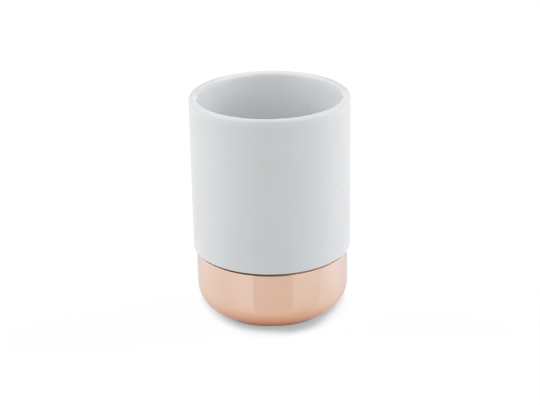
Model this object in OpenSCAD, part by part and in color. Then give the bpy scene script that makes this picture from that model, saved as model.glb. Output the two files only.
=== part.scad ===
// Bathroom tumbler: a glazed ceramic cup with a plain round wall, standing in a bowl-shaped
// metal base. The cup steps in at a shoulder and its narrow lower half sits down inside the
// base, on a foot ring. Millimetres, Z up, origin at the middle of the face it stands on.

/* [Ceramic cup] */
// Outside diameter of the cup's round wall
cup_d = 76; // [60:1:100]
// Height from the table to the top of the rim
overall_h = 109; // [90:1:150]
// Height from the table to the shoulder, where the wide wall ends
shoulder_h = 33.6; // [30:0.1:46]
// Thickness of the cast wall and floor, which is also the width of the rounded rim
cup_wall = 3.9; // [3:0.1:6]
// Rounding of the wall's lower outside edge
wall_edge_r = 0.4; // [0.3:0.1:1.6]
// Radius of each of the two arcs that lead the inside from the wide bore to the narrow one
blend_r = 8; // [6:0.5:14]
// Rounding in the inside angle between the shoulder and the narrow half
root_r = 0.4; // [0.2:0.1:0.5]
// How much tighter the cup's lower corner is than the bowl's corner around it
corner_ease = 2; // [1:0.5:5]
// Distance from the pad recess's edge in to the middle of the ring that the cup stands on
ring_inset = 4; // [3:0.5:8]
// Width of that unglazed ring where it stands
ring_w = 3; // [2:0.2:4]
// Height of that ring
ring_h = 1; // [0.6:0.1:2]

/* [Metal base] */
// How far the cup's wall stands out past the widest part of the base
overhang = 1.2; // [1:0.1:3]
// Thickness of the drawn sheet
sheet = 0.8; // [0.5:0.1:1]
// Height from the table to the widest line of the bowl
belt_h = 18; // [17:0.5:22]
// Radius of the bowl's side above that line, where it leans in a little towards its edge
upper_r = 200; // [100:10:600]
// Radius of the bowl's side below that line, where it runs down to the corner
lower_r = 60; // [50:5:150]
// Outside rounding of the bowl's lower corner
bowl_corner_r = 13; // [10:0.5:15]
// Height of the joint between the bowl's rounded top edge and the cup's shoulder
shoulder_gap = 1.6; // [0.8:0.1:2.4]
// Width of the flat metal ring round the foot pad
foot_flat = 2.5; // [1.5:0.1:5]
// Depth of the pressed recess that the foot pad sits in
recess_depth = 0.5; // [0.3:0.1:0.8]

/* [Bonds] */
// Clearance between the cup and the mouth of the base
mouth_clear = 1.4; // [0.6:0.1:2.4]
// How far the bond in that joint reaches out past the middle of the bowl's edge
bond_reach = 0.2; // [0.1:0.05:0.3]
// Thickness of the bond under the foot ring
floor_bond = 0.4; // [0.2:0.1:0.8]
// How far that bond is squeezed out past each side of the foot ring
squeeze = 0.6; // [0.2:0.1:1]
// Film of clearance between a bond and a rounded edge or angle that it holds
film = 0.05; // [0.02:0.01:0.1]

/* [Foot pad] */
// Thickness of the non-slip pad
pad_t = 1.8; // [1:0.1:3]
// Rounding of the pad's lower edge
pad_edge_r = 0.4; // [0.2:0.1:0.6]
// Clearance round the pad in its recess
pad_play = 0.3; // [0.1:0.1:0.6]
// Thickness of the double-sided tape that holds the pad
tape_t = 0.2; // [0.1:0.05:0.3]
// How far the tape stays inside the pad's edge
tape_inset = 0.5; // [0.2:0.1:1]

/* [Hidden] */
$fn = 144;
side_steps = 1440;
bond_colour = "#4A342C";

// Heights, from the table up
bowl_z = pad_t + tape_t - recess_depth;
recess_z = bowl_z + recess_depth;
boss_z = recess_z + sheet;
ring_z = boss_z + floor_bond;
under_z = ring_z + ring_h;
floor_z = under_z + cup_wall;
corner_z = bowl_z + bowl_corner_r;
edge_r = sheet / 2;
edge_top_z = shoulder_h - shoulder_gap;
edge_z = edge_top_z - edge_r;

// Radii, from the outside in
cup_r = cup_d / 2;
rim_r = cup_wall / 2;
bowl_r = cup_r - overhang;
upper_c = bowl_r - upper_r;
lower_c = bowl_r - lower_r;
bowl_corner_c = lower_c + sqrt(pow(lower_r - bowl_corner_r, 2) - pow(belt_h - corner_z, 2));
edge_c = upper_c + sqrt(pow(upper_r - edge_r, 2) - pow(edge_z - belt_h, 2));
seat_r = edge_c - edge_r - mouth_clear;
bore_r = cup_r - cup_wall;
well_r = seat_r - cup_wall;
recess_r = bowl_corner_c - foot_flat;
pad_r = recess_r - pad_play;
ring_mid_r = recess_r - ring_inset;
seat_corner_r = bowl_corner_r - corner_ease;

// Height that the inside takes to lead from the wide bore to the narrow one
blend_step = bore_r - well_r;
blend_h = sqrt(4 * blend_r * blend_step - pow(blend_step, 2));

// A block from the axis out to radius r, between two heights
module core(r, z0, z1) {
    translate([0, z0]) square([r, z1 - z0]);
}

// A disc in the profile, with its middle at radius r and height z
module bead(r, z, radius) {
    translate([r, z]) circle(r = radius);
}

// The lower half of that disc, which rounds the turn from the cup's side into its floor
module corner(r, z, radius) {
    intersection() {
        bead(r, z, radius);
        core(r + radius, z - radius, z);
    }
}

// Height where a large curve of the side, with its surface moved in by inset, meets the rounded
// edge at the top
function edge_turn_z(inset) = belt_h + (upper_r - inset) * (edge_z - belt_h) / (upper_r - edge_r);

// A stretch of the bowl's side between two heights, filled to the axis
module side(middle, radius, z0, z1) {
    intersection() {
        translate([middle, belt_h]) circle(r = radius, $fn = side_steps);
        core(cup_r, z0, z1);
    }
}

// Half section of the bowl, filled to the axis, with its surface moved in by inset. The curves run
// into each other at the heights where they touch, and the lower one ends inside the upper one.
module bowl_profile(inset) {
    corner_radius = bowl_corner_r - inset;
    turn_z = corner_z - corner_radius * (belt_h - corner_z) / (lower_r - bowl_corner_r);
    core(bowl_corner_c, bowl_z + inset, turn_z);
    intersection() {
        bead(bowl_corner_c, corner_z, corner_radius);
        core(bowl_corner_c + corner_radius, bowl_z, turn_z);
    }
    side(lower_c, lower_r - inset, turn_z, edge_z);
    side(upper_c, upper_r - inset, belt_h, edge_turn_z(inset));
}

// Half section of the cup's outside, filled to the axis
module cup_outside() {
    core(cup_r, shoulder_h + wall_edge_r, overall_h - rim_r);
    bead(cup_r - rim_r, overall_h - rim_r, rim_r);
    core(cup_r - wall_edge_r, shoulder_h, overall_h - rim_r);
    bead(cup_r - wall_edge_r, shoulder_h + wall_edge_r, wall_edge_r);
    difference() {
        core(seat_r + root_r, shoulder_h - root_r, shoulder_h);
        bead(seat_r + root_r, shoulder_h - root_r, root_r);
    }
    core(seat_r, under_z + seat_corner_r, shoulder_h);
    corner(seat_r - seat_corner_r, under_z + seat_corner_r, seat_corner_r);
    core(seat_r - seat_corner_r, under_z, under_z + seat_corner_r);
}

// Half section of the cup's inside, open through the rim
module cup_inside() {
    corner_r = seat_corner_r - cup_wall;
    blend_z = shoulder_h + blend_h;
    half_z = shoulder_h + blend_h / 2;
    half_r = (bore_r + well_r) / 2;
    core(well_r - corner_r, floor_z, shoulder_h);
    corner(well_r - corner_r, floor_z + corner_r, corner_r);
    core(well_r, floor_z + corner_r, shoulder_h);
    difference() {
        core(half_r, shoulder_h, half_z);
        bead(well_r + blend_r, shoulder_h, blend_r);
    }
    intersection() {
        core(bore_r, half_z, blend_z);
        union() {
            bead(bore_r - blend_r, blend_z, blend_r);
            core(bore_r - blend_r, half_z, blend_z);
        }
    }
    core(bore_r, blend_z, overall_h);
}

module ceramic_cup() {
    color("whitesmoke") {
        rotate_extrude() difference() {
            cup_outside();
            cup_inside();
        }
        foot_ring();
    }
}

// The ring narrows a little towards the face that it stands on
module foot_ring() {
    inner = ring_mid_r - ring_w / 2;
    outer = ring_mid_r + ring_w / 2;
    flare = ring_h / 2;
    rotate_extrude() polygon([
        [inner, ring_z], [outer, ring_z], [outer + flare, under_z], [inner - flare, under_z]
    ]);
}

module base_shell() {
    color("#D9A78C") rotate_extrude() {
        difference() {
            bowl_profile(0);
            difference() {
                bowl_profile(sheet);
                core(recess_r + sheet, bowl_z, boss_z);
            }
            core(recess_r, 0, recess_z);
            core(edge_c, edge_turn_z(sheet), shoulder_h);
        }
        bead(edge_c, edge_z, edge_r);
    }
}

// A ring of dark bond on the bowl's edge, which carries the cup's shoulder and shows as a thin line
module rim_adhesive() {
    inner = seat_r + root_r + film;
    outer = edge_c + bond_reach;
    color(bond_colour) rotate_extrude()
        translate([inner, edge_top_z + film]) square([outer - inner, shoulder_gap - 2 * film]);
}

module foot_adhesive() {
    width = ring_w + 2 * squeeze;
    color(bond_colour) rotate_extrude()
        translate([ring_mid_r - width / 2, boss_z]) square([width, floor_bond]);
}

module pad_tape() {
    color("ivory") translate([0, 0, pad_t]) cylinder(r = pad_r - tape_inset, h = tape_t);
}

module foot_pad() {
    color("dimgray") rotate_extrude() {
        core(pad_r, pad_edge_r, pad_t);
        core(pad_r - pad_edge_r, 0, pad_t);
        bead(pad_r - pad_edge_r, pad_edge_r, pad_edge_r);
    }
}

ceramic_cup();
base_shell();
rim_adhesive();
foot_adhesive();
pad_tape();
foot_pad();
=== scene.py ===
# %% [markdown]
# # A ceramic tumbler in a copper-plated base
# The real thing is a white glazed cup that stands in a polished metal bowl. Everything on it is a
# body of revolution, so this lesson is about three things: a clean profile, a tree of Geometry
# Nodes that turns it as a potter's wheel does, and finishes that look right in soft light. The
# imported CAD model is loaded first. It is the fixed frame that every piece is fitted to.

# %% Load the frame
import math
import bmesh
import bpy
from mathutils import Matrix, Vector


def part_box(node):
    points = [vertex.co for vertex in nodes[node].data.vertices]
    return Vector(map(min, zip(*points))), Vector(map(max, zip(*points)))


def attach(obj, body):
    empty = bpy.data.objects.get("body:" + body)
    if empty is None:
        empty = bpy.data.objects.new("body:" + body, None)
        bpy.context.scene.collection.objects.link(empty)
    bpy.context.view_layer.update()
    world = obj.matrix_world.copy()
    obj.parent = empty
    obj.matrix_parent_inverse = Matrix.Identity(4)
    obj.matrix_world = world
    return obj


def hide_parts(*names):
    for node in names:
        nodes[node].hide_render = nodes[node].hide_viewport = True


MM = 0.001


def mm(*lengths):
    """Lengths in metres as rounded millimetres, for the prints."""
    return [round(length / MM, 2) for length in lengths]


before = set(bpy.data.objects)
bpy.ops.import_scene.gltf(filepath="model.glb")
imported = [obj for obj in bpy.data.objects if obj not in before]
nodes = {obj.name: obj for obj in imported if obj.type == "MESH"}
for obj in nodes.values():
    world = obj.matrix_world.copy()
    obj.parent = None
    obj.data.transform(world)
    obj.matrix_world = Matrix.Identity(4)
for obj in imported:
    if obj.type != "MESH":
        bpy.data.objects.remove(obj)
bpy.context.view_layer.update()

# %% [markdown]
# ## The camera
# The photograph was taken from a little above, from about 0.7 m away with a long lens. A camera
# can be placed by eye, but here it is measured: the edges of the rim, the shoulder and the base
# are circles, and how flat their ellipses look gives the camera's height and its distance. It is
# turned about its own line of sight by one degree, because the tumbler leans by that much in the
# picture.

# %% Place the camera
PICTURE_W = 540
SENSOR = 36.0
FOCAL_PX = 1478.6
DISTANCE = 712.0 * MM
ELEVATION = math.radians(22.455)
ROLL = math.radians(-1.045)
AIM = Vector((-0.65 * MM, 0, 54.15 * MM))
NEAREST = 10 * MM


def put(name, data):
    """A new object in the scene's own collection."""
    made = bpy.data.objects.new(name, data)
    bpy.context.scene.collection.objects.link(made)
    return made


sight = Vector((0, math.cos(ELEVATION), -math.sin(ELEVATION)))
camera_data = bpy.data.cameras.new("camera")
camera_data.sensor_width = SENSOR
camera_data.sensor_fit = "HORIZONTAL"
camera_data.lens = FOCAL_PX / PICTURE_W * SENSOR
camera_data.clip_start = NEAREST
camera = put("camera", camera_data)
turn = sight.to_track_quat("-Z", "Y").to_matrix().to_4x4() @ Matrix.Rotation(ROLL, 4, "Z")
camera.matrix_world = Matrix.Translation(AIM - DISTANCE * sight) @ turn
bpy.context.scene.camera = camera
print("lens in mm:", round(camera_data.lens, 2))

# %% [markdown]
# ## Helpers for node trees
# Materials and Geometry Nodes can be joined by hand in their editors. A script makes the same
# nodes, and then every value has a name and the result is the same each time. Small helpers keep
# that short: one adds a node, one joins two sockets, and the others write sums, ramps and mixes.

# %% Node helpers
def feed(tree, value, socket):
    """Join another socket to this one, or write a plain value into it."""
    if isinstance(value, bpy.types.NodeSocket):
        tree.links.new(value, socket)
    elif value is not None:
        socket.default_value = value


def add(tree, kind, inputs=None, **settings):
    """A new node of this kind, with its own settings and its inputs set by name."""
    made = tree.nodes.new(kind)
    for name, value in settings.items():
        setattr(made, name, value)
    for name, value in (inputs or {}).items():
        feed(tree, value, made.inputs[name])
    return made


def math_node(tree, operation, *values):
    """A Math node; each value is a socket or a number."""
    return add(tree, "ShaderNodeMath", dict(enumerate(values)), operation=operation).outputs[0]


def ramp(tree, value, low, high, start=0.0, end=1.0, smooth=True):
    """Lead from start to end while the value goes from low to high, and hold outside."""
    inputs = {"Value": value, "From Min": low, "From Max": high, "To Min": start, "To Max": end}
    kind = "SMOOTHSTEP" if smooth else "LINEAR"
    return add(tree, "ShaderNodeMapRange", inputs, interpolation_type=kind).outputs["Result"]


# %% [markdown]
# Colours and places have three parts each, so they get helpers of their own. A Mix node has a
# pair of inputs for every kind of value under the same two names, and the right pair is found by
# its type.

# %% Helpers for colours and places
WHITE = (1, 1, 1)


def blend(tree, factor, first, second):
    """Mix two colours; each is a socket or three numbers."""
    made = add(tree, "ShaderNodeMix", {"Factor": factor}, data_type="RGBA")
    for name, colour in (("A", first), ("B", second)):
        socket = next(s for s in made.inputs if s.name == name and s.type == "RGBA")
        feed(tree, colour if isinstance(colour, bpy.types.NodeSocket) else (*colour, 1), socket)
    return next(s for s in made.outputs if s.type == "RGBA")


def times(tree, first, second):
    """Multiply two colours; each is a socket or three numbers."""
    return add(tree, "ShaderNodeVectorMath", {0: first, 1: second},
               operation="MULTIPLY").outputs[0]


def place_on(tree, kind="Object"):
    """The place on the object, as one socket."""
    return add(tree, "ShaderNodeTexCoord").outputs[kind]


def apart(tree, place):
    """The x, y and z of a place."""
    return tuple(add(tree, "ShaderNodeSeparateXYZ", {0: place}).outputs)


def from_axis(tree, x, y):
    """How far a place is from the axis."""
    square = math_node(tree, "MULTIPLY", y, y)
    return math_node(tree, "SQRT", math_node(tree, "MULTIPLY_ADD", x, x, square))


# %% [markdown]
# ## The studio
# The photograph has a white table and a white background that run into each other, and light that
# comes from all round. The light here is the same kind: a bright white world does most of the
# work, and three large lamps add a little from both sides and from above. Polished metal and
# gloss glaze show whatever stands round them. Real cards could be set up for that, but they would
# also change the light. So what a reflection sees is set apart from what the camera sees, and
# Blender's Light Path node tells the two kinds of ray apart.

# %% Tell reflections from the rest
def is_reflection(tree):
    """1 for a ray that a surface has mirrored or let through, and 0 for any other."""
    path = add(tree, "ShaderNodeLightPath").outputs
    return math_node(tree, "MAXIMUM", path["Is Glossy Ray"], path["Is Transmission Ray"])


# %% [markdown]
# ## What the metal sees of the table
# The curved bowl shows the whole table squeezed into a narrow picture. All of that picture is
# worked out from the place on the table alone, so it stays sharp and needs no image. Its middle
# is a duller wedge of table in front of the tumbler, which makes the broad upright band in the
# metal.

# %% The wedge in front
WEDGE_Y = -35.2 * MM
WEDGE_HALF = 8.8 * MM
WEDGE_SLOPE = 0.569
WEDGE_FROM, WEDGE_TO = -66 * MM, -38 * MM
EDGE_BLUR = 0.8 * MM


def wedge(tree, x, y):
    """How much a place lies in the duller wedge in front of the tumbler, from 0 to 1."""
    ahead = math_node(tree, "SUBTRACT", WEDGE_Y, y)
    edge = math_node(tree, "MULTIPLY_ADD", ahead, WEDGE_SLOPE, WEDGE_HALF)
    inside = math_node(tree, "SUBTRACT", edge, math_node(tree, "ABSOLUTE", x))
    sides = ramp(tree, inside, -EDGE_BLUR, EDGE_BLUR)
    return math_node(tree, "MULTIPLY", sides, ramp(tree, y, WEDGE_FROM, WEDGE_TO, 1.0, 0.0))


print("wedge fades in between y in mm:", mm(WEDGE_TO, WEDGE_FROM))

# %% [markdown]
# To the right, a thin dark line in the metal is the edge of something that lies on the table.
# Before that edge the table is a little duller.

# %% The line at the right
LINE_Y, LINE_SLOPE = -30.0 * MM, -0.188
LINE_HALF = 0.9 * MM
LINE_FROM, LINE_TO = 30 * MM, 50 * MM
LINE_TINT = (0.863, 0.849, 0.853)
DULL_FROM, DULL_TO = 10 * MM, 25 * MM
DULL_TINT = (0.978, 0.957, 0.950)


def line_tint(tree, x, y):
    """The tint of the thin dark line at the right, and of the duller table before it."""
    past = math_node(tree, "SUBTRACT", y, math_node(tree, "MULTIPLY_ADD", x, LINE_SLOPE, LINE_Y))
    before = ramp(tree, past, -EDGE_BLUR, EDGE_BLUR, 1.0, 0.0)
    dull = math_node(tree, "MULTIPLY", before, ramp(tree, x, DULL_FROM, DULL_TO))
    near = ramp(tree, math_node(tree, "ABSOLUTE", past), 0.0, LINE_HALF, 1.0, 0.0, smooth=False)
    dark = math_node(tree, "MULTIPLY", near, ramp(tree, x, LINE_FROM, LINE_TO))
    return times(tree, blend(tree, dull, WHITE, DULL_TINT), blend(tree, dark, WHITE, LINE_TINT))


print("line starts at x in mm:", mm(LINE_FROM), "and is wide:", mm(2 * LINE_HALF))

# %% [markdown]
# Close round the foot the table lies in the warm shade of the bowl itself, deepest in front, and
# that gives the bowl its dark lower edge. The shade fades with distance, and blue and green fade
# in more slowly than red, because the light in there has already bounced off copper.

# %% The shade round the foot
SHADE_EDGE = 27 * MM
SHADE_DEPTH = (0.924, 1.267, 1.356)
SHADE_LENGTH = (7.8 * MM, 11.1 * MM, 13.2 * MM)
SHADE_FRONT, SHADE_SIDE = -42 * MM, -15.7 * MM
SHADE_WEAK = 0.40
SHADE_FLOOR = 0.02


def foot_shade(tree, y, reach):
    """What the shade round the foot leaves of red, green and blue."""
    strength = ramp(tree, y, SHADE_FRONT, SHADE_SIDE, 1.0, SHADE_WEAK, smooth=False)
    left = []
    for depth, length in zip(SHADE_DEPTH, SHADE_LENGTH):
        away = math_node(tree, "MULTIPLY_ADD", reach, -1 / length, SHADE_EDGE / length)
        dark = math_node(tree, "MULTIPLY", math_node(tree, "EXPONENT", away), strength)
        light = math_node(tree, "MULTIPLY_ADD", dark, -depth, 1.0)
        left.append(math_node(tree, "MAXIMUM", light, SHADE_FLOOR))
    return add(tree, "ShaderNodeCombineXYZ", dict(enumerate(left))).outputs[0]


print("shade of red, green and blue fades over mm:", mm(*SHADE_LENGTH))

# %% [markdown]
# Behind the tumbler the table is brighter and cooler, and coolest far out to the right. Further
# back it is duller and warmer, where only the glaze at the two sides of the cup shows it.

# %% The whole picture
TABLE_FRONT = (0.898, 0.904, 0.913)
TABLE_BEHIND = (0.988, 1.052, 1.124)
TABLE_FAR = (0.90, 0.86, 0.87)
LEFT_FROM, LEFT_TO = -44.5 * MM, 37 * MM
RIGHT_FROM, RIGHT_TO = -52.3 * MM, 5.4 * MM
FAR_FROM, FAR_TO = 38 * MM, 72 * MM
COOL_RIGHT = (1.01, 1.035, 1.075)
COOL_FROM, COOL_TO = 54 * MM, 90 * MM
WEDGE_TINT = (0.910, 0.846, 0.792)


def table_picture(tree, x, y, reach):
    """The colour of the table for reflections, from the place on it."""
    start = ramp(tree, x, -EDGE_BLUR, EDGE_BLUR, LEFT_FROM, RIGHT_FROM)
    end = ramp(tree, x, -EDGE_BLUR, EDGE_BLUR, LEFT_TO, RIGHT_TO)
    colour = blend(tree, ramp(tree, y, start, end), TABLE_FRONT, TABLE_BEHIND)
    band = blend(tree, wedge(tree, x, y), line_tint(tree, x, y), WEDGE_TINT)
    cool = blend(tree, ramp(tree, x, COOL_FROM, COOL_TO), WHITE, COOL_RIGHT)
    colour = times(tree, times(tree, colour, band), cool)
    colour = blend(tree, ramp(tree, y, FAR_FROM, FAR_TO), colour, TABLE_FAR)
    return times(tree, colour, foot_shade(tree, y, reach))


print("table turns bright between y in mm:", mm(LEFT_FROM, LEFT_TO), "left,",
      mm(RIGHT_FROM, RIGHT_TO), "right")

# %% [markdown]
# ## The table itself
# The camera sees a plain pale sheet. It is a diffuse surface, so it takes the soft shadow round
# the foot, and it also glows a little for the camera alone. The two together come to just white
# everywhere outside the shadow. More than white would spill into the edges of the tumbler and make
# it look thinner, so the glow follows the distance from the foot: it is weaker far away, where the
# sheet gets all of the light. The shadow in the photograph leans to the right, so the glow does
# too.

# %% The glow for the camera
GLOW_FOOT, GLOW_PEAK, GLOW_FAR = 0.385, 0.70, 0.455
GLOW_FROM, GLOW_TO = 25.5 * MM, 33.5 * MM
GLOW_FADE = 22 * MM
LEAN_STEPS = ((-22 * MM, -14 * MM, 0.05, 0.0), (-2 * MM, 10 * MM, 0.0, -0.18),
              (18 * MM, 28 * MM, 0.0, 0.16))
LEAN_RING = ((25.5 * MM, 31 * MM, 0.0, 1.0), (31 * MM, 37 * MM, 1.0, 0.0))


def camera_glow(tree, x, reach):
    """The strength of the table's glow, from the place on it."""
    rise = ramp(tree, reach, GLOW_FROM, GLOW_TO, GLOW_FOOT, GLOW_PEAK)
    past = math_node(tree, "MINIMUM", math_node(tree, "SUBTRACT", GLOW_TO, reach), 0.0)
    kept = math_node(tree, "EXPONENT", math_node(tree, "DIVIDE", past, GLOW_FADE))
    gone = math_node(tree, "SUBTRACT", 1.0, kept)
    strength = math_node(tree, "MULTIPLY_ADD", gone, GLOW_FAR - GLOW_PEAK, rise)
    lean = 0.0
    for step in LEAN_STEPS:
        lean = math_node(tree, "ADD", ramp(tree, x, *step), lean)
    for step in LEAN_RING:
        lean = math_node(tree, "MULTIPLY", ramp(tree, reach, *step), lean)
    return math_node(tree, "ADD", lean, strength)


print("glow at the foot, at its peak and far away:", GLOW_FOOT, GLOW_PEAK, GLOW_FAR)

# %% [markdown]
# Right under the front of the bowl the shade is deepest and warmest, and shows as a thin dark
# line. Beside the bowl the shadow ends in a soft warm fringe. The shadow that the scene casts by
# itself comes close to both, and the colour of the sheet adds what is missing.

# %% The colour close to the bowl
CONTACT_TINT = (0.60, 0.39, 0.33)
CONTACT_FROM, CONTACT_TO = 23.9 * MM, 24.7 * MM
CONTACT_SLOPE = 0.08
CONTACT_FULL, CONTACT_END = -19 * MM, -14 * MM
FRINGE_TINT = (0.875, 0.85, 0.835)
FRINGE_FROM, FRINGE_TO = 32.8 * MM, 35.5 * MM
FRINGE_SLOPE, FRINGE_BEHIND = 0.385, 6 * MM
FRINGE_START, FRINGE_FULL = 21 * MM, 27 * MM
FRINGE_LEFT = 5.5 * MM


def contact_line(tree, x, y, reach):
    """The tint of the thin dark line under the front of the bowl."""
    near = math_node(tree, "MULTIPLY_ADD", math_node(tree, "ABSOLUTE", x), -CONTACT_SLOPE, reach)
    line = blend(tree, ramp(tree, near, CONTACT_FROM, CONTACT_TO), CONTACT_TINT, WHITE)
    return blend(tree, ramp(tree, y, CONTACT_FULL, CONTACT_END), line, WHITE)


def side_fringe(tree, x, y, reach):
    """The tint of the soft fringe beside the bowl, which starts further out at the left."""
    back = math_node(tree, "MINIMUM", y, FRINGE_BEHIND)
    past = math_node(tree, "MULTIPLY_ADD", back, -FRINGE_SLOPE, reach)
    faint = ramp(tree, past, FRINGE_FROM, FRINGE_TO, smooth=False)
    left = math_node(tree, "MULTIPLY_ADD", x, -1.0, -FRINGE_LEFT)
    beside = ramp(tree, math_node(tree, "MAXIMUM", x, left), FRINGE_START, FRINGE_FULL)
    return blend(tree, beside, WHITE, blend(tree, faint, FRINGE_TINT, WHITE))


print("dark line and fringe end, from the middle, in mm:", mm(CONTACT_TO, FRINGE_TO))

# %% [markdown]
# Now the sheet gets both of its faces: the one that the camera and the light see, and the picture
# for reflections. It is one large square, so its edge is never in view.

# %% Make the table
TABLE_SIZE = 6.0
TABLE_ALBEDO = 0.44


def table_material():
    made = bpy.data.materials.new("white table")
    made.use_nodes = True
    tree = made.node_tree
    tree.nodes.clear()
    place = place_on(tree)
    x, y, _ = apart(tree, place)
    reach = add(tree, "ShaderNodeVectorMath", {0: place}, operation="LENGTH").outputs["Value"]
    close = times(tree, contact_line(tree, x, y, reach), side_fringe(tree, x, y, reach))
    sheet = add(tree, "ShaderNodeBsdfDiffuse", {"Color": times(tree, close, (TABLE_ALBEDO,) * 3)})
    seen = add(tree, "ShaderNodeLightPath").outputs["Is Camera Ray"]
    strength = math_node(tree, "MULTIPLY", seen, camera_glow(tree, x, reach))
    glow = add(tree, "ShaderNodeEmission", {"Color": close, "Strength": strength})
    both = add(tree, "ShaderNodeAddShader", {0: sheet.outputs[0], 1: glow.outputs[0]})
    picture = add(tree, "ShaderNodeEmission", {"Color": table_picture(tree, x, y, reach)})
    choose = add(tree, "ShaderNodeMixShader",
                 {0: is_reflection(tree), 1: both.outputs[0], 2: picture.outputs[0]})
    add(tree, "ShaderNodeOutputMaterial", {"Surface": choose.outputs[0]})
    print(made.name, "nodes:", len(tree.nodes))
    return made


table_mesh = bpy.data.meshes.new("table")
half = TABLE_SIZE / 2
corners = [(-half, -half, 0), (half, -half, 0), (half, half, 0), (-half, half, 0)]
table_mesh.from_pydata(corners, [], [(0, 1, 2, 3)])
table_mesh.materials.append(table_material())
table = put("table", table_mesh)
print("table in m:", TABLE_SIZE)

# %% [markdown]
# ## The world
# The world is plain white. In reflections it also shows two softboxes, left and right of the
# camera. They give the rim and the bowl's top edge their bright lines, and leave the darker patch
# in the middle of the rim, where the rim looks up between them. An image of a studio could do
# that too, but here every edge of a softbox is one named angle.

# %% Make the world
WORLD_LIGHT = 1.07
WORLD_MIRROR = 0.86
BOX_GLOW = 1.2
BOX_FROM, BOX_TO = math.radians(28), math.radians(110)
BOX_LOW, BOX_HIGH = math.radians(14), math.radians(50)
ANGLE_BLUR = math.radians(3)


def softboxes(tree):
    """1 in the two softboxes that reflections see, and 0 round them."""
    x, y, z = apart(tree, place_on(tree, "Generated"))
    ahead = math_node(tree, "MULTIPLY", y, -1.0)
    angle = math_node(tree, "ARCTAN2", math_node(tree, "ABSOLUTE", x), ahead)
    height = math_node(tree, "ARCSINE", z)
    box = 1.0
    for value, limit, start, end in ((angle, BOX_FROM, 0.0, 1.0), (angle, BOX_TO, 1.0, 0.0),
                                     (height, BOX_LOW, 0.0, 1.0), (height, BOX_HIGH, 1.0, 0.0)):
        part = ramp(tree, value, limit - ANGLE_BLUR, limit + ANGLE_BLUR, start, end)
        box = math_node(tree, "MULTIPLY", part, box)
    return box


def build_world():
    world = bpy.data.worlds.new("white studio")
    bpy.context.scene.world = world
    world.use_nodes = True
    tree = world.node_tree
    tree.nodes.clear()
    mirror = math_node(tree, "MULTIPLY_ADD", softboxes(tree), BOX_GLOW, WORLD_MIRROR)
    seen = add(tree, "ShaderNodeLightPath").outputs["Is Camera Ray"]
    plain = math_node(tree, "MULTIPLY_ADD", seen, 1.0 - WORLD_LIGHT, WORLD_LIGHT)
    strength = add(tree, "ShaderNodeMix", {"Factor": is_reflection(tree), "A": plain, "B": mirror},
                   data_type="FLOAT")
    white = add(tree, "ShaderNodeBackground", {"Strength": strength.outputs[0]})
    add(tree, "ShaderNodeOutputWorld", {"Surface": white.outputs[0]})


build_world()
bpy.context.scene.view_settings.view_transform = "Standard"
bpy.context.scene.cycles.caustics_reflective = False
print("world light:", WORLD_LIGHT, "in reflections:", WORLD_MIRROR)

# %% [markdown]
# ## The lamps
# Two square lamps stand a little behind the tumbler, left and right, and brighten its two sides,
# so that the round wall turns from light to darker and back. One large lamp above brightens the
# inside of the cup. None of them shows in reflections: the world's softboxes do that part.

# %% Hang the lamps
LEFT_POWER, RIGHT_POWER, TOP_POWER = 4.2, 4.5, 2.5
SIDE_ANGLE = math.radians(105)
SIDE_HEIGHT, SIDE_DISTANCE, SIDE_SIZE = 0.45, 0.9, 0.7
TOP_HEIGHT, TOP_DISTANCE, TOP_SIZE = 1.2, 0.01, 0.8


def soft_box(name, angle, height, distance, size, power):
    """A square area lamp that looks at the middle of the tumbler."""
    lamp = bpy.data.lights.new(name, "AREA")
    lamp.shape = "SQUARE"
    lamp.size = size
    lamp.energy = power
    made = put(name, lamp)
    place = Vector((distance * math.sin(angle), -distance * math.cos(angle), height))
    aim = (AIM - place).to_track_quat("-Z", "Y")
    made.matrix_world = Matrix.Translation(place) @ aim.to_matrix().to_4x4()
    made.visible_glossy = False


soft_box("left softbox", -SIDE_ANGLE, SIDE_HEIGHT, SIDE_DISTANCE, SIDE_SIZE, LEFT_POWER)
soft_box("right softbox", SIDE_ANGLE, SIDE_HEIGHT, SIDE_DISTANCE, SIDE_SIZE, RIGHT_POWER)
soft_box("top softbox", 0, TOP_HEIGHT, TOP_DISTANCE, TOP_SIZE, TOP_POWER)
print("lamps in W:", LEFT_POWER, RIGHT_POWER, TOP_POWER)

# %% [markdown]
# ## Drawing a profile
# A turned shape is as good as its outline. The outline is drawn as half a cross-section, with the
# radius across and the height up, from straight stretches and arcs. Next to each arc, a straight
# stretch gets one more point close by. Smooth shading then bends its light only on the arc and
# leaves the flat wall flat.

# %% Profile helpers
ARC_STEP = math.radians(4)
ARC_LENGTH = 0.8 * MM
SUPPORT = 0.15 * MM
SAME = SUPPORT / 10
LONG = 6 * SUPPORT
SAMPLE_R = 13 * MM


def arc(r, z, radius, start, end):
    """Points on a circle round (r, z), from one angle to another, in degrees from outward."""
    first, last = math.radians(start), math.radians(end)
    span = abs(last - first)
    count = max(2, math.ceil(span / ARC_STEP), math.ceil(span * radius / ARC_LENGTH))
    turns = [first + (last - first) * i / count for i in range(count + 1)]
    return [(r + radius * math.cos(t), z + radius * math.sin(t)) for t in turns]


def outline(*stretches):
    """Join points and arcs, drop doubles, and support both ends of each long straight stretch."""
    points = []
    for stretch in stretches:
        for point in (stretch if isinstance(stretch, list) else [stretch]):
            if not points or math.dist(point, points[-1]) > SAME:
                points.append(point)
    made = points[:1]
    for before, after in zip(points, points[1:]):
        length = math.dist(before, after)
        if length > LONG:
            for share in (SUPPORT / length, 1 - SUPPORT / length):
                made.append(tuple(a + (b - a) * share for a, b in zip(before, after)))
        made.append(after)
    return made


print("points in a quarter turn of radius, in mm:", mm(SAMPLE_R), len(arc(0, 0, SAMPLE_R, 0, 90)))

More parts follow.
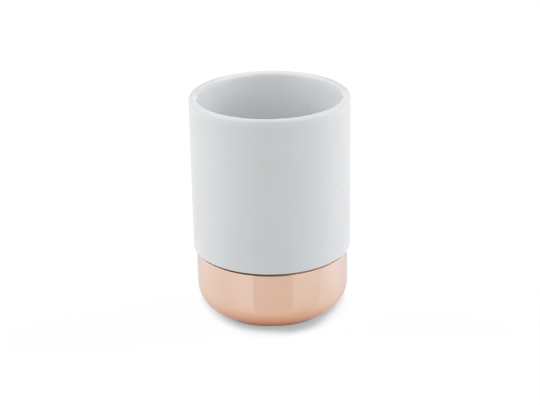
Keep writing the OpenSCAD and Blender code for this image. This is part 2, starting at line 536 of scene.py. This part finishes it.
# %% [markdown]
# ## The potter's wheel
# Blender can turn a profile with a Screw modifier or with a spin in edit mode. Here it is a tree
# of Geometry Nodes, because the same wheel turns the cup, the metal bowl and the foot pad, and its
# number of steps stays one named input. The profile becomes a curve, a circle is the path of the
# wheel, and Curve to Mesh sweeps one along the other. Curve to Mesh lays the height of a profile
# along its own Y axis, so the profile is tipped by a quarter turn first. The points on the axis
# fall together and are merged, so that a piece ends as one closed skin. Below one height the
# faces can get a second finish, which leaves the cup's foot ring bare.

# %% Build the wheel
WHEEL_STEPS = 288
WHEEL_RADIUS = 0.1
MERGE = 0.002 * MM


def wheel_tree():
    tree = bpy.data.node_groups.new("potter's wheel", "GeometryNodeTree")
    for name, kind in (("Profile", "Geometry"), ("Steps", "Int"), ("Finish", "Material"),
                       ("Bare Below", "Float"), ("Bare Finish", "Material")):
        tree.interface.new_socket(name, in_out="INPUT", socket_type="NodeSocket" + kind)
    tree.interface.new_socket("Turned", in_out="OUTPUT", socket_type="NodeSocketGeometry")
    given = add(tree, "NodeGroupInput").outputs
    tip = add(tree, "GeometryNodeTransform",
              {"Geometry": given["Profile"], "Translation": (-WHEEL_RADIUS, 0, 0),
               "Rotation": (math.pi / 2, 0, 0)})
    profile = add(tree, "GeometryNodeMeshToCurve", {0: tip.outputs[0]})
    path = add(tree, "GeometryNodeCurvePrimitiveCircle",
               {"Resolution": given["Steps"], "Radius": WHEEL_RADIUS})
    sweep = add(tree, "GeometryNodeCurveToMesh",
                {"Curve": path.outputs[0], "Profile Curve": profile.outputs[0]})
    merge = add(tree, "GeometryNodeMergeByDistance",
                {"Geometry": sweep.outputs[0], "Distance": MERGE})
    smooth = add(tree, "GeometryNodeSetShadeSmooth", {"Geometry": merge.outputs[0]})
    real = add(tree, "GeometryNodeRealizeInstances", {0: smooth.outputs[0]})
    finish = add(tree, "GeometryNodeSetMaterial",
                 {"Geometry": real.outputs[0], "Material": given["Finish"]})
    height = apart(tree, add(tree, "GeometryNodeInputPosition").outputs[0])[2]
    low = add(tree, "FunctionNodeCompare", {"A": height, "B": given["Bare Below"]},
              operation="LESS_THAN")
    bare = add(tree, "GeometryNodeSetMaterial",
               {"Geometry": finish.outputs[0], "Selection": low.outputs[0],
                "Material": given["Bare Finish"]})
    add(tree, "NodeGroupOutput", {0: bare.outputs[0]})
    return tree


wheel = wheel_tree()
print("nodes in the wheel:", len(wheel.nodes), "steps in a turn:", WHEEL_STEPS)

# %% [markdown]
# A profile is put on the wheel as a modifier. The turned shape is then taken out as a plain mesh,
# and the modifier goes, so that the piece no longer depends on the tree. Sharp corners are marked
# by their angle, and the volume and the open edges are measured: a good skin has no open edge,
# and a positive volume says that its faces look outward.

# %% Turn a piece
CREASE = math.radians(40)
ML = 1000 * MM ** 3
NOWHERE = -1.0


def measure_piece(made):
    """Print how much material a piece has, and whether its skin is closed."""
    skin = bmesh.new()
    skin.from_mesh(made.data)
    open_edges = sum(not edge.is_manifold for edge in skin.edges)
    print(made.name, "volume in ml:", round(skin.calc_volume(signed=True) / ML, 2),
          "faces:", len(made.data.polygons), "open edges:", open_edges)
    skin.free()


def turn_piece(name, points, finish, bare_below=NOWHERE, bare_finish=None):
    """Put a profile on the wheel and return the turned piece as a plain mesh object."""
    drawing = bpy.data.meshes.new(name + "_profile")
    edges = [(i, i + 1) for i in range(len(points) - 1)]
    drawing.from_pydata([(r, 0, z) for r, z in points], edges, [])
    made = put(name, drawing)
    spin = made.modifiers.new("wheel", "NODES")
    spin.node_group = wheel
    given = {"Steps": WHEEL_STEPS, "Finish": finish, "Bare Below": bare_below,
             "Bare Finish": bare_finish or finish}
    for item in wheel.interface.items_tree:
        if item.name in given:
            spin[item.identifier] = given[item.name]
    graph = bpy.context.evaluated_depsgraph_get()
    mesh = bpy.data.meshes.new_from_object(made.evaluated_get(graph))
    made.modifiers.clear()
    made.data = mesh
    mesh.name = name
    bpy.data.meshes.remove(drawing)
    mesh.set_sharp_from_angle(angle=CREASE)
    measure_piece(made)
    return made


# %% [markdown]
# ## Tools for the finishes
# No real surface is one flat colour. A finish could be a painted image, but then it would hang on
# how the mesh is unwrapped. Each finish below is built from a few kinds of procedural pattern
# instead, laid out on the object's own coordinates in metres: clouds of noise for slow changes,
# small scattered specks, and a bump that tilts the light without moving the mesh. A scale of 100
# makes patches about 10 mm across. The values of a pattern stand together, in the order in which
# its helper takes them.

# %% Pattern helpers
def clouds(tree, place, scale, detail):
    """Soft noise from 0 to 1."""
    inputs = {"Scale": scale, "Detail": detail, "Vector": place}
    return add(tree, "ShaderNodeTexNoise", inputs).outputs[0]


def patches(tree, place, scale, detail, low, high, start=0.0, end=1.0):
    """Clouds with clearer edges: from start to end while the noise goes from low to high."""
    return ramp(tree, clouds(tree, place, scale, detail), low, high, start, end)


def specks(tree, place, scale, size, share):
    """Small round specks: 1 on a speck and 0 off it. Only this share of the cells has one."""
    cells = add(tree, "ShaderNodeTexVoronoi", {"Scale": scale, "Vector": place}).outputs
    chance = apart(tree, cells["Color"])[0]
    spot = ramp(tree, cells["Distance"], size / 2, size, 1.0, 0.0)
    return math_node(tree, "MULTIPLY", math_node(tree, "LESS_THAN", chance, share), spot)


def bump(tree, height, depth, below=None):
    """Tilt the surface by a pattern of this depth in metres, on top of another bump."""
    inputs = {"Height": height, "Distance": depth, "Normal": below}
    return add(tree, "ShaderNodeBump", inputs).outputs[0]


# %% [markdown]
# Every finish starts and ends in the same way. It starts as a new material with a Principled
# shader, and ends when the shader gets its colour, its roughness and its bump.

# %% Start and end a finish
def start_finish(name, shader_values=None):
    """A new material, its tree and the place on the object."""
    made = bpy.data.materials.new(name)
    made.use_nodes = True
    tree = made.node_tree
    for socket, value in (shader_values or {}).items():
        tree.nodes["Principled BSDF"].inputs[socket].default_value = value
    return made, tree, place_on(tree)


def end_finish(made, colour, roughness, normal):
    """Feed the three sockets of the shader that every finish uses."""
    tree = made.node_tree
    sockets = tree.nodes["Principled BSDF"].inputs
    for name, value in (("Base Color", colour), ("Roughness", roughness), ("Normal", normal)):
        feed(tree, value, sockets[name])
    print(made.name, "nodes:", len(tree.nodes))
    return made


# %% [markdown]
# ## White glaze
# The cup is dipped in a clear gloss glaze over a white body. The glaze is a little cooler than
# the table, and clouds in it shift its colour by one or two percent. Slower changes lie over
# them, and all follow from the place on the cup; they are painted light and shade. Outside, the
# flanks are painted a few percent darker and warmer, more so low down, as painted shade. The very
# edge over the base is painted lighter and warmer, a painted glow of light from the copper.

# %% The glaze outside
# Painted light: the warm glow of the copper on the edge over the base. Painted shade: the duller
# flanks.
PAINTED_COPPER_GLOW = (1.19, 1.08, 1.03)
WARM_FROM, WARM_TO = 34.0 * MM, 34.5 * MM
FLANK_SHADE_LOW, FLANK_SHADE_HIGH = (0.99, 0.955, 0.95), (1.0, 0.98, 0.98)
FLANK_FROM, FLANK_TO = 45 * MM, 80 * MM
FLANK_START, FLANK_FULL = 26 * MM, 34 * MM


def outside_light_and_shade(tree, x, z):
    """The painted glow of the copper on the edge over the base, and the painted shade on the
    flanks.
    """
    edge = blend(tree, ramp(tree, z, WARM_FROM, WARM_TO), PAINTED_COPPER_GLOW, WHITE)
    flank = blend(tree, ramp(tree, z, FLANK_FROM, FLANK_TO), FLANK_SHADE_LOW, FLANK_SHADE_HIGH)
    aside = ramp(tree, math_node(tree, "ABSOLUTE", x), FLANK_START, FLANK_FULL)
    return times(tree, edge, blend(tree, aside, WHITE, flank))


print("warm edge ends at z in mm:", mm(WARM_TO))

# %% [markdown]
# Inside, the glaze is painted with shade that deepens further down, where less light reaches. Low
# in the part that shows, the right half is painted a little lighter than the left. Near the rim
# the two flanks are painted darker, as painted shade.

# %% The glaze inside
# All of these are painted light and shade inside the cup.
INSIDE_TOP_LIGHT, DEEP_INSIDE_SHADE = (1.025, 1.01, 1.015), (0.97, 0.95, 0.955)
DEEP_FROM, DEEP_TO = 84 * MM, 102 * MM
LEFT_HALF_SHADE, RIGHT_HALF_LIGHT = (0.985, 0.99, 0.99), (1.03, 1.03, 1.035)
HALF_FROM, HALF_TO = -4 * MM, 14 * MM
INNER_FLANK_SHADE = (0.95, 0.94, 0.94)
INNER_START, INNER_FULL = 18 * MM, 28 * MM
INNER_FROM, INNER_TO = 96 * MM, 103 * MM


def inside_light_and_shade(tree, x, z):
    """Painted shade further down, painted light at the right, and painted shade at the flanks near
    the rim.
    """
    deep = blend(tree, ramp(tree, z, DEEP_FROM, DEEP_TO, smooth=False), DEEP_INSIDE_SHADE, INSIDE_TOP_LIGHT)
    half = blend(tree, ramp(tree, x, HALF_FROM, HALF_TO), LEFT_HALF_SHADE, RIGHT_HALF_LIGHT)
    wide = ramp(tree, math_node(tree, "ABSOLUTE", x), INNER_START, INNER_FULL)
    flank = blend(tree, wide, WHITE, INNER_FLANK_SHADE)
    return times(tree, deep, blend(tree, ramp(tree, z, INNER_FROM, INNER_TO), half, flank))


print("inside is dullest below z in mm:", mm(DEEP_FROM))

# %% [markdown]
# Over the rim the colour is painted darker in rings, up to a quarter, as painted shade. The rings
# also change round the rim: the front has a painted highlight on its crest, the two sides are
# painted darker, and the back is painted lighter again. Just under the rim a band is painted
# lighter, as painted light.

# %% The glaze on the rim
# Painted shade, a painted highlight and painted light on the rim and just under it.
RIM_SHADE_FROM, RIM_SHADE_TO = 107.0 * MM, 107.9 * MM
UNDER_RIM_LIGHT = (1.045, 1.035, 1.035)
SOFT_FROM, SOFT_TO = 104.6 * MM, 106.8 * MM
RIM_INSIDE_SHADE = (0.915, 0.90, 0.895)
RIM_SHADE_BANDS = ((34.8 * MM, 35.3 * MM, (0.82, 0.805, 0.80)),
             (35.95 * MM, 36.2 * MM, (0.77, 0.755, 0.75)),
             (36.7 * MM, 37.2 * MM, (0.89, 0.88, 0.875)))
FRONT_CREST_HIGHLIGHT, FRONT_SLOPE_SHADE = (1.11, 1.11, 1.12), (0.985, 0.98, 0.98)
CREST_FROM, CREST_TO = 36.4 * MM, 36.9 * MM
SIDE_RIM_SHADE, BACK_RIM_LIGHT = (0.955, 0.95, 0.95), (1.035, 1.035, 1.025)
RIM_LIGHT_TURNS = ((-6 * MM, 9 * MM, SIDE_RIM_SHADE), (22 * MM, 33 * MM, BACK_RIM_LIGHT))


def rim_light_and_shade(tree, y, z, out):
    """The painted shade in rings over the rim, the painted highlight and shade that change from
    front to back, and the painted light in the band below them.
    """
    rings = RIM_INSIDE_SHADE
    for start, end, colour in RIM_SHADE_BANDS:
        rings = blend(tree, ramp(tree, out, start, end), rings, colour)
    turned = blend(tree, ramp(tree, out, CREST_FROM, CREST_TO), FRONT_CREST_HIGHLIGHT, FRONT_SLOPE_SHADE)
    for start, end, colour in RIM_LIGHT_TURNS:
        turned = blend(tree, ramp(tree, y, start, end), turned, colour)
    soft = blend(tree, ramp(tree, z, SOFT_FROM, SOFT_TO), WHITE, UNDER_RIM_LIGHT)
    return blend(tree, ramp(tree, z, RIM_SHADE_FROM, RIM_SHADE_TO), soft, times(tree, rings, turned))


print("rings on the rim start at r in mm:", mm(*(band[0] for band in RIM_SHADE_BANDS)))

# %% [markdown]
# Where the glaze flows, it keeps a very shallow orange-peel surface, which only the reflections
# show. A few specks of iron as small as a pinhead come up through it in the kiln. A clear coat
# over a matt body would be closer to how glaze is built up, but from here it looks much the same,
# so a Principled shader with a low roughness does the gloss.

# %% Make the glaze
GLAZE_COOL = (0.752, 0.790, 0.802)
GLAZE_WARM = (0.745, 0.777, 0.785)
GLAZE_PATCHES = (40, 3, 0.35, 0.65)
GLAZE_SPECK = (0.52, 0.50, 0.46)
IRON_SPECKS = (260, 0.13, 0.02)
GLOSS_PATCHES = (90, 2, 0.3, 0.7)
GLAZE_SMOOTH, GLAZE_DULL = 0.06, 0.10
PEEL_CLOUDS, PEEL_DEPTH = (170, 1), 0.012 * MM
OUTSIDE_R = 36.1 * MM


def make_glaze():
    made, tree, place = start_finish("white glaze")
    x, y, z = apart(tree, place)
    out = from_axis(tree, x, y)
    outside = math_node(tree, "GREATER_THAN", out, OUTSIDE_R)
    # Painted light and shade on the glaze, from the place on the cup.
    painted_light_and_shade = blend(tree, outside, inside_light_and_shade(tree, x, z), outside_light_and_shade(tree, x, z))
    painted_light_and_shade = times(tree, painted_light_and_shade, rim_light_and_shade(tree, y, z, out))
    colour = blend(tree, patches(tree, place, *GLAZE_PATCHES), GLAZE_COOL, GLAZE_WARM)
    colour = times(tree, colour, painted_light_and_shade)
    colour = blend(tree, specks(tree, place, *IRON_SPECKS), colour, GLAZE_SPECK)
    gloss = patches(tree, place, *GLOSS_PATCHES, GLAZE_SMOOTH, GLAZE_DULL)
    peel = bump(tree, clouds(tree, place, *PEEL_CLOUDS), PEEL_DEPTH)
    return end_finish(made, colour, gloss, peel)


glaze = make_glaze()

# %% [markdown]
# ## Bare clay
# The ring that the cup stands on is wiped clean before firing, or it would stick to the kiln
# shelf. Bare fired clay is matt and a little warmer, with a fine grain. One noise does both the
# colour and the bump, so that the dark grains are also the low ones.

# %% Make the bare clay
CLAY_LIGHT = (0.70, 0.68, 0.63)
CLAY_DARK = (0.60, 0.57, 0.52)
CLAY_GRAIN, CLAY_CONTRAST = (2200, 4), (0.3, 0.7)
CLAY_ROUGH, CLAY_DEPTH = 0.85, 0.03 * MM


def make_clay():
    made, tree, place = start_finish("bare fired clay")
    grain = clouds(tree, place, *CLAY_GRAIN)
    colour = blend(tree, ramp(tree, grain, *CLAY_CONTRAST), CLAY_DARK, CLAY_LIGHT)
    return end_finish(made, colour, CLAY_ROUGH, bump(tree, grain, CLAY_DEPTH))


clay = make_clay()

# %% [markdown]
# ## Polished copper plate
# The base is drawn from sheet, polished while it spins, and then plated. Three things keep it from
# looking like a perfect mirror. Polishing leaves hair-fine lines that run round it. Drawing leaves
# a very shallow waviness, which makes the edges of its reflections wander a little. Handling
# leaves faint smudges and a few grains of dust. An anisotropic shader could smear the reflections
# instead, but it shows no single line. The polishing lines must run round the piece and change
# fast along its profile, so their pattern uses the height plus the distance from the axis.

# %% The polishing lines
POLISH_ROUND, POLISH_ALONG = 25, 5200
POLISH_CLOUDS = (1.0, 2)


def polishing_lines(tree, place):
    """Fine noise that is stretched round the axis."""
    x, y, z = apart(tree, place)
    along = math_node(tree, "ADD", from_axis(tree, x, y), z)
    stretched = add(tree, "ShaderNodeCombineXYZ", {
        0: math_node(tree, "MULTIPLY", x, POLISH_ROUND),
        1: math_node(tree, "MULTIPLY", y, POLISH_ROUND),
        2: math_node(tree, "MULTIPLY", along, POLISH_ALONG)})
    return clouds(tree, stretched.outputs[0], *POLISH_CLOUDS)


print("lines are stretched by a factor of", POLISH_ALONG / POLISH_ROUND)

# %% [markdown]
# Dust is dull and darker than the metal, so one pattern of specks changes both the colour and the
# roughness.

# %% Make the copper
COPPER_PINK = (0.875, 0.640, 0.522)
COPPER_GOLD = (0.862, 0.618, 0.492)
COPPER_GRAZING = (0.863, 0.863, 0.863, 1)
COPPER_PATCHES = (28, 3, 0.35, 0.65)
COPPER_DUST = (0.60, 0.44, 0.36)
DUST_SPECKS, DUST_ROUGH = (420, 0.12, 0.025), 0.4
SMUDGE_PATCHES = (60, 4, 0.45, 0.75)
COPPER_SMOOTH, COPPER_SMUDGED = 0.045, 0.085
POLISH_DEPTH = 0.0006 * MM
WAVE_CLOUDS, WAVE_DEPTH = (55, 1), 0.012 * MM


def make_copper():
    metal = {"Metallic": 1.0, "Specular Tint": COPPER_GRAZING}
    made, tree, place = start_finish("polished copper plate", metal)
    colour = blend(tree, patches(tree, place, *COPPER_PATCHES), COPPER_PINK, COPPER_GOLD)
    dust = specks(tree, place, *DUST_SPECKS)
    smudge = patches(tree, place, *SMUDGE_PATCHES, COPPER_SMOOTH, COPPER_SMUDGED)
    rough = math_node(tree, "MAXIMUM", smudge, math_node(tree, "MULTIPLY", dust, DUST_ROUGH))
    waves = bump(tree, clouds(tree, place, *WAVE_CLOUDS), WAVE_DEPTH)
    lines = bump(tree, polishing_lines(tree, place), POLISH_DEPTH, waves)
    return end_finish(made, blend(tree, dust, colour, COPPER_DUST), rough, lines)


copper = make_copper()

# %% [markdown]
# ## Foam rubber
# The pad is foam rubber with open cells half a millimetre across. Real holes would need millions
# of faces, so a Voronoi pattern imitates them: its distance is low in the middle of a cell and
# high at the wall between two cells. The middles of the cells are painted darker, as painted
# shade in the holes.

# %% Make the foam
# The pits are painted darker, as painted shade.
FOAM_LIGHT, FOAM_PIT_SHADE = (0.60, 0.60, 0.58), (0.34, 0.34, 0.33)
FOAM_SCALE = 1900
FOAM_PIT_END, FOAM_WALL = 0.1, 0.55
FOAM_ROUGH, FOAM_DEPTH = 0.9, 0.12 * MM


def make_foam():
    made, tree, place = start_finish("foam rubber")
    cells = add(tree, "ShaderNodeTexVoronoi", {"Scale": FOAM_SCALE, "Vector": place})
    wall = ramp(tree, cells.outputs["Distance"], FOAM_PIT_END, FOAM_WALL)
    colour = blend(tree, wall, FOAM_PIT_SHADE, FOAM_LIGHT)
    return end_finish(made, colour, FOAM_ROUGH, bump(tree, wall, FOAM_DEPTH))


foam = make_foam()

# %% [markdown]
# ## Bond and tape
# The bond is a dark brown sealing silicone, satin and a little lumpy. It shows as the dark line
# between cup and base. At the left the line lies deep in shade, and to the right it comes closer
# to the edge and gets more light, so its colour is painted darker at the left and lighter at the
# right, as painted shade and light. The tape under the pad is a cream film with paper fibres in
# it.

# %% Make the bond and the tape
BOND_BROWN, BOND_DARK = (0.25, 0.128, 0.09), (0.20, 0.102, 0.07)
# Painted shade at the left of the bond and painted light at the right.
BOND_LEFT_SHADE, BOND_RIGHT_LIGHT = (0.62, 0.62, 0.62), (2.2, 2.2, 2.2)
BOND_FROM, BOND_TO = 0 * MM, 15 * MM
BOND_LUMPS, BOND_CONTRAST = (400, 2), (0.3, 0.7)
BOND_SATIN, BOND_DULL = 0.32, 0.5
BOND_DEPTH = 0.05 * MM
TAPE_CREAM, TAPE_FIBRE = (0.78, 0.75, 0.66), (0.68, 0.64, 0.55)
TAPE_FIBRES, TAPE_CONTRAST = (1300, 5), (0.4, 0.6)
TAPE_ROUGH, TAPE_DEPTH = 0.55, 0.01 * MM


def make_bond():
    made, tree, place = start_finish("dark bond")
    lumps = clouds(tree, place, *BOND_LUMPS)
    x = apart(tree, place)[0]
    # Painted shade to the left and painted light to the right.
    painted_light_and_shade = blend(tree, ramp(tree, x, BOND_FROM, BOND_TO), BOND_LEFT_SHADE, BOND_RIGHT_LIGHT)
    colour = times(tree, blend(tree, lumps, BOND_DARK, BOND_BROWN), painted_light_and_shade)
    rough = ramp(tree, lumps, *BOND_CONTRAST, BOND_SATIN, BOND_DULL)
    return end_finish(made, colour, rough, bump(tree, lumps, BOND_DEPTH))


def make_tape():
    made, tree, place = start_finish("double-sided tape")
    fibres = clouds(tree, place, *TAPE_FIBRES)
    colour = blend(tree, ramp(tree, fibres, *TAPE_CONTRAST), TAPE_CREAM, TAPE_FIBRE)
    return end_finish(made, colour, TAPE_ROUGH, bump(tree, fibres, TAPE_DEPTH))


bond, tape = make_bond(), make_tape()

# %% [markdown]
# ## Sizes
# The frame gives the diameter, the height and the face that the cup stands on. The rest repeats
# the sizes of the real parts in millimetres. The wide wall of the cup ends at a shoulder, and the
# narrow lower half goes down inside the bowl.

# %% Sizes
cup_low, cup_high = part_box("ceramic_cup")
CUP_R, TOP, RING_Z = cup_high[0], cup_high[2], cup_low[2]
WALL = 3.9 * MM  # the cast wall and floor, and the width of the rim
SHOULDER = 33.6 * MM  # height at which the wide wall ends
EDGE_R = 0.4 * MM  # rounding of the wall's lower edge
ROOT_R = 0.4 * MM  # rounding in the angle under the shoulder
BLEND_R = 8 * MM  # each of the two arcs that lead the inside down into the narrow half
EASE = 2 * MM  # how much tighter the cup's lower corner is than the bowl's
RING_H = 1 * MM  # height of the foot ring
RING_W = 3 * MM  # its width where it stands
RING_INSET = 4 * MM  # from the edge of the pad's recess in to the ring's middle
OVERHANG = 1.2 * MM  # how far the wall stands out past the bowl
SHEET = 0.8 * MM  # thickness of the metal
BELT = 18 * MM  # height of the bowl's widest line
UPPER_R = 200 * MM  # the bowl's side above that line
LOWER_R = 60 * MM  # the bowl's side below it
CORNER_R = 13 * MM  # the bowl's lower corner
BOWL_Z = 1.5 * MM  # height of the bowl's foot above the table
FOOT_FLAT = 2.5 * MM  # width of the flat metal ring round the pad
SHOULDER_GAP = 1.6 * MM  # height of the joint between bowl and shoulder
MOUTH_CLEAR = 1.4 * MM  # room between the cup and the bowl's edge
print("cup's radius, its top and the face it stands on, in mm:", mm(CUP_R, TOP, RING_Z))

# %% [markdown]
# The bowl's side is two large arcs that meet at its widest line. They run into the lower corner
# and into the rounded top edge at the points where the arcs touch, which is what makes the
# reflections flow without a kink. Two circles touch where their middles and the point lie on one
# line, so each point comes from a right triangle between the two middles. The cup's own sizes
# then follow from the bowl's.

# %% Where the arcs touch
BOWL_R = CUP_R - OVERHANG
UPPER_C = BOWL_R - UPPER_R
LOWER_C = BOWL_R - LOWER_R
CORNER_Z = BOWL_Z + CORNER_R
CORNER_C = LOWER_C + math.sqrt((LOWER_R - CORNER_R) ** 2 - (BELT - CORNER_Z) ** 2)
LOWER_TURN = math.degrees(math.atan2(CORNER_Z - BELT, CORNER_C - LOWER_C))
TRIM_R = SHEET / 2
TRIM_Z = SHOULDER - SHOULDER_GAP - TRIM_R
TRIM_C = UPPER_C + math.sqrt((UPPER_R - TRIM_R) ** 2 - (TRIM_Z - BELT) ** 2)
UPPER_TURN = math.degrees(math.atan2(TRIM_Z - BELT, TRIM_C - UPPER_C))
RECESS_R = CORNER_C - FOOT_FLAT

UNDER_Z = RING_Z + RING_H
FLOOR_Z = UNDER_Z + WALL
RIM_R = WALL / 2
SEAT_R = TRIM_C - TRIM_R - MOUTH_CLEAR
BORE_R = CUP_R - WALL
WELL_R = SEAT_R - WALL
RING_MID = RECESS_R - RING_INSET
SEAT_CORNER = CORNER_R - EASE
WELL_CORNER = SEAT_CORNER - WALL
BLEND_TURN = math.acos(1 - (BORE_R - WELL_R) / (2 * BLEND_R))
BLEND_TOP = SHOULDER + 2 * BLEND_R * math.sin(BLEND_TURN)
print("corner, trim, seat, well, recess and top of the blend in mm:",
      mm(CORNER_C, TRIM_C, SEAT_R, WELL_R, RECESS_R, BLEND_TOP))

# %% [markdown]
# ## The ceramic cup
# The real cup is cast in a plaster mould: slip runs in, stiffens against the plaster as an even
# wall, and the rest is poured out. So the wall is the same thickness everywhere, and the inside
# follows the outside in soft curves. The rim is sponged to a full round. The profile starts on the
# axis at the cup's floor, climbs the inside, rolls over the rim, comes down the outside, steps in
# at the shoulder and ends on the axis again, under the foot. A subdivided cylinder would give the
# same wall, but its rim and its shoulder would come out softer than they are.

# %% Turn the cup
BARE_SHARE = 1 / 3


def cup_outline():
    bend = math.degrees(BLEND_TURN)
    flare = RING_H / 2
    inner, outer = RING_MID - RING_W / 2, RING_MID + RING_W / 2
    return outline(
        (0, FLOOR_Z),
        arc(WELL_R - WELL_CORNER, FLOOR_Z + WELL_CORNER, WELL_CORNER, -90, 0),
        arc(WELL_R + BLEND_R, SHOULDER, BLEND_R, 180, 180 - bend),
        arc(BORE_R - BLEND_R, BLEND_TOP, BLEND_R, -bend, 0),
        arc(CUP_R - RIM_R, TOP - RIM_R, RIM_R, 180, 0),
        arc(CUP_R - EDGE_R, SHOULDER + EDGE_R, EDGE_R, 0, -90),
        arc(SEAT_R + ROOT_R, SHOULDER - ROOT_R, ROOT_R, 90, 180),
        arc(SEAT_R - SEAT_CORNER, UNDER_Z + SEAT_CORNER, SEAT_CORNER, 0, -90),
        (outer + flare, UNDER_Z), (outer, RING_Z), (inner, RING_Z), (inner - flare, UNDER_Z),
        (0, UNDER_Z))


cup = turn_piece("turned_cup", cup_outline(), glaze, RING_Z + RING_H * BARE_SHARE, clay)
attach(cup, "root")
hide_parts("ceramic_cup")

# %% [markdown]
# ## The metal base
# The bowl is pressed from one disc of sheet metal in a few draws. Its top edge is trimmed and
# rounded over, and its foot has a shallow recess pressed up into it for the pad. A single skin
# with a Solidify modifier would do for the sheet, but not for the rounded edge and the recess. So
# the profile follows the inside of the sheet out and up, turns round the top edge, and comes back
# down the outside, and the sheet has its real thickness all over.

# %% Turn the base
RECESS_Z = 2 * MM  # height of the recess's roof, which the pad's tape sticks to
BOSS_Z = RECESS_Z + SHEET


def base_outline():
    return outline(
        (0, BOSS_Z), (RECESS_R + SHEET, BOSS_Z), (RECESS_R + SHEET, BOWL_Z + SHEET),
        arc(CORNER_C, CORNER_Z, CORNER_R - SHEET, -90, LOWER_TURN),
        arc(LOWER_C, BELT, LOWER_R - SHEET, LOWER_TURN, 0),
        arc(UPPER_C, BELT, UPPER_R - SHEET, 0, UPPER_TURN),
        arc(TRIM_C, TRIM_Z, TRIM_R, 180 + UPPER_TURN, UPPER_TURN),
        arc(UPPER_C, BELT, UPPER_R, UPPER_TURN, 0),
        arc(LOWER_C, BELT, LOWER_R, 0, LOWER_TURN),
        arc(CORNER_C, CORNER_Z, CORNER_R, LOWER_TURN, -90),
        (RECESS_R, BOWL_Z), (RECESS_R, RECESS_Z), (0, RECESS_Z))


base = turn_piece("turned_base", base_outline(), copper)
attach(base, "root")
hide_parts("base_shell")

# %% [markdown]
# ## The foot pad
# A disc of foam rubber keeps the metal off the basin and stops it from sliding. It is die-cut, and
# the cut leaves its lower edge a little rounded. It sits in the recess with a hair of play. It is
# turned on the same wheel, because its round edge then comes with the profile.

# %% Turn the pad
PAD_T = 1.8 * MM  # thickness of the pad
PAD_EDGE_R = 0.4 * MM  # rounding of its lower edge
PAD_PLAY = 0.3 * MM  # room round it in the recess
PAD_R = RECESS_R - PAD_PLAY

pad_outline = outline((0, PAD_T), (PAD_R, PAD_T),
                      arc(PAD_R - PAD_EDGE_R, PAD_EDGE_R, PAD_EDGE_R, 0, -90), (0, 0))
pad = turn_piece("turned_pad", pad_outline, foam)
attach(pad, "root")
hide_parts("foot_pad")

# %% [markdown]
# ## Bonds and tape
# The ring of bond under the shoulder, the one under the foot ring, and the tape have the right
# shape in the CAD model already. They could be turned again, but nothing would be gained. They
# stay, and only get their finish.

# %% Finish the pieces that stay
STAY = {"rim_adhesive": bond, "foot_adhesive": bond, "pad_tape": tape}
for name, finish in STAY.items():
    nodes[name].data.materials.clear()
    nodes[name].data.materials.append(finish)
    print(name, "->", finish.name)
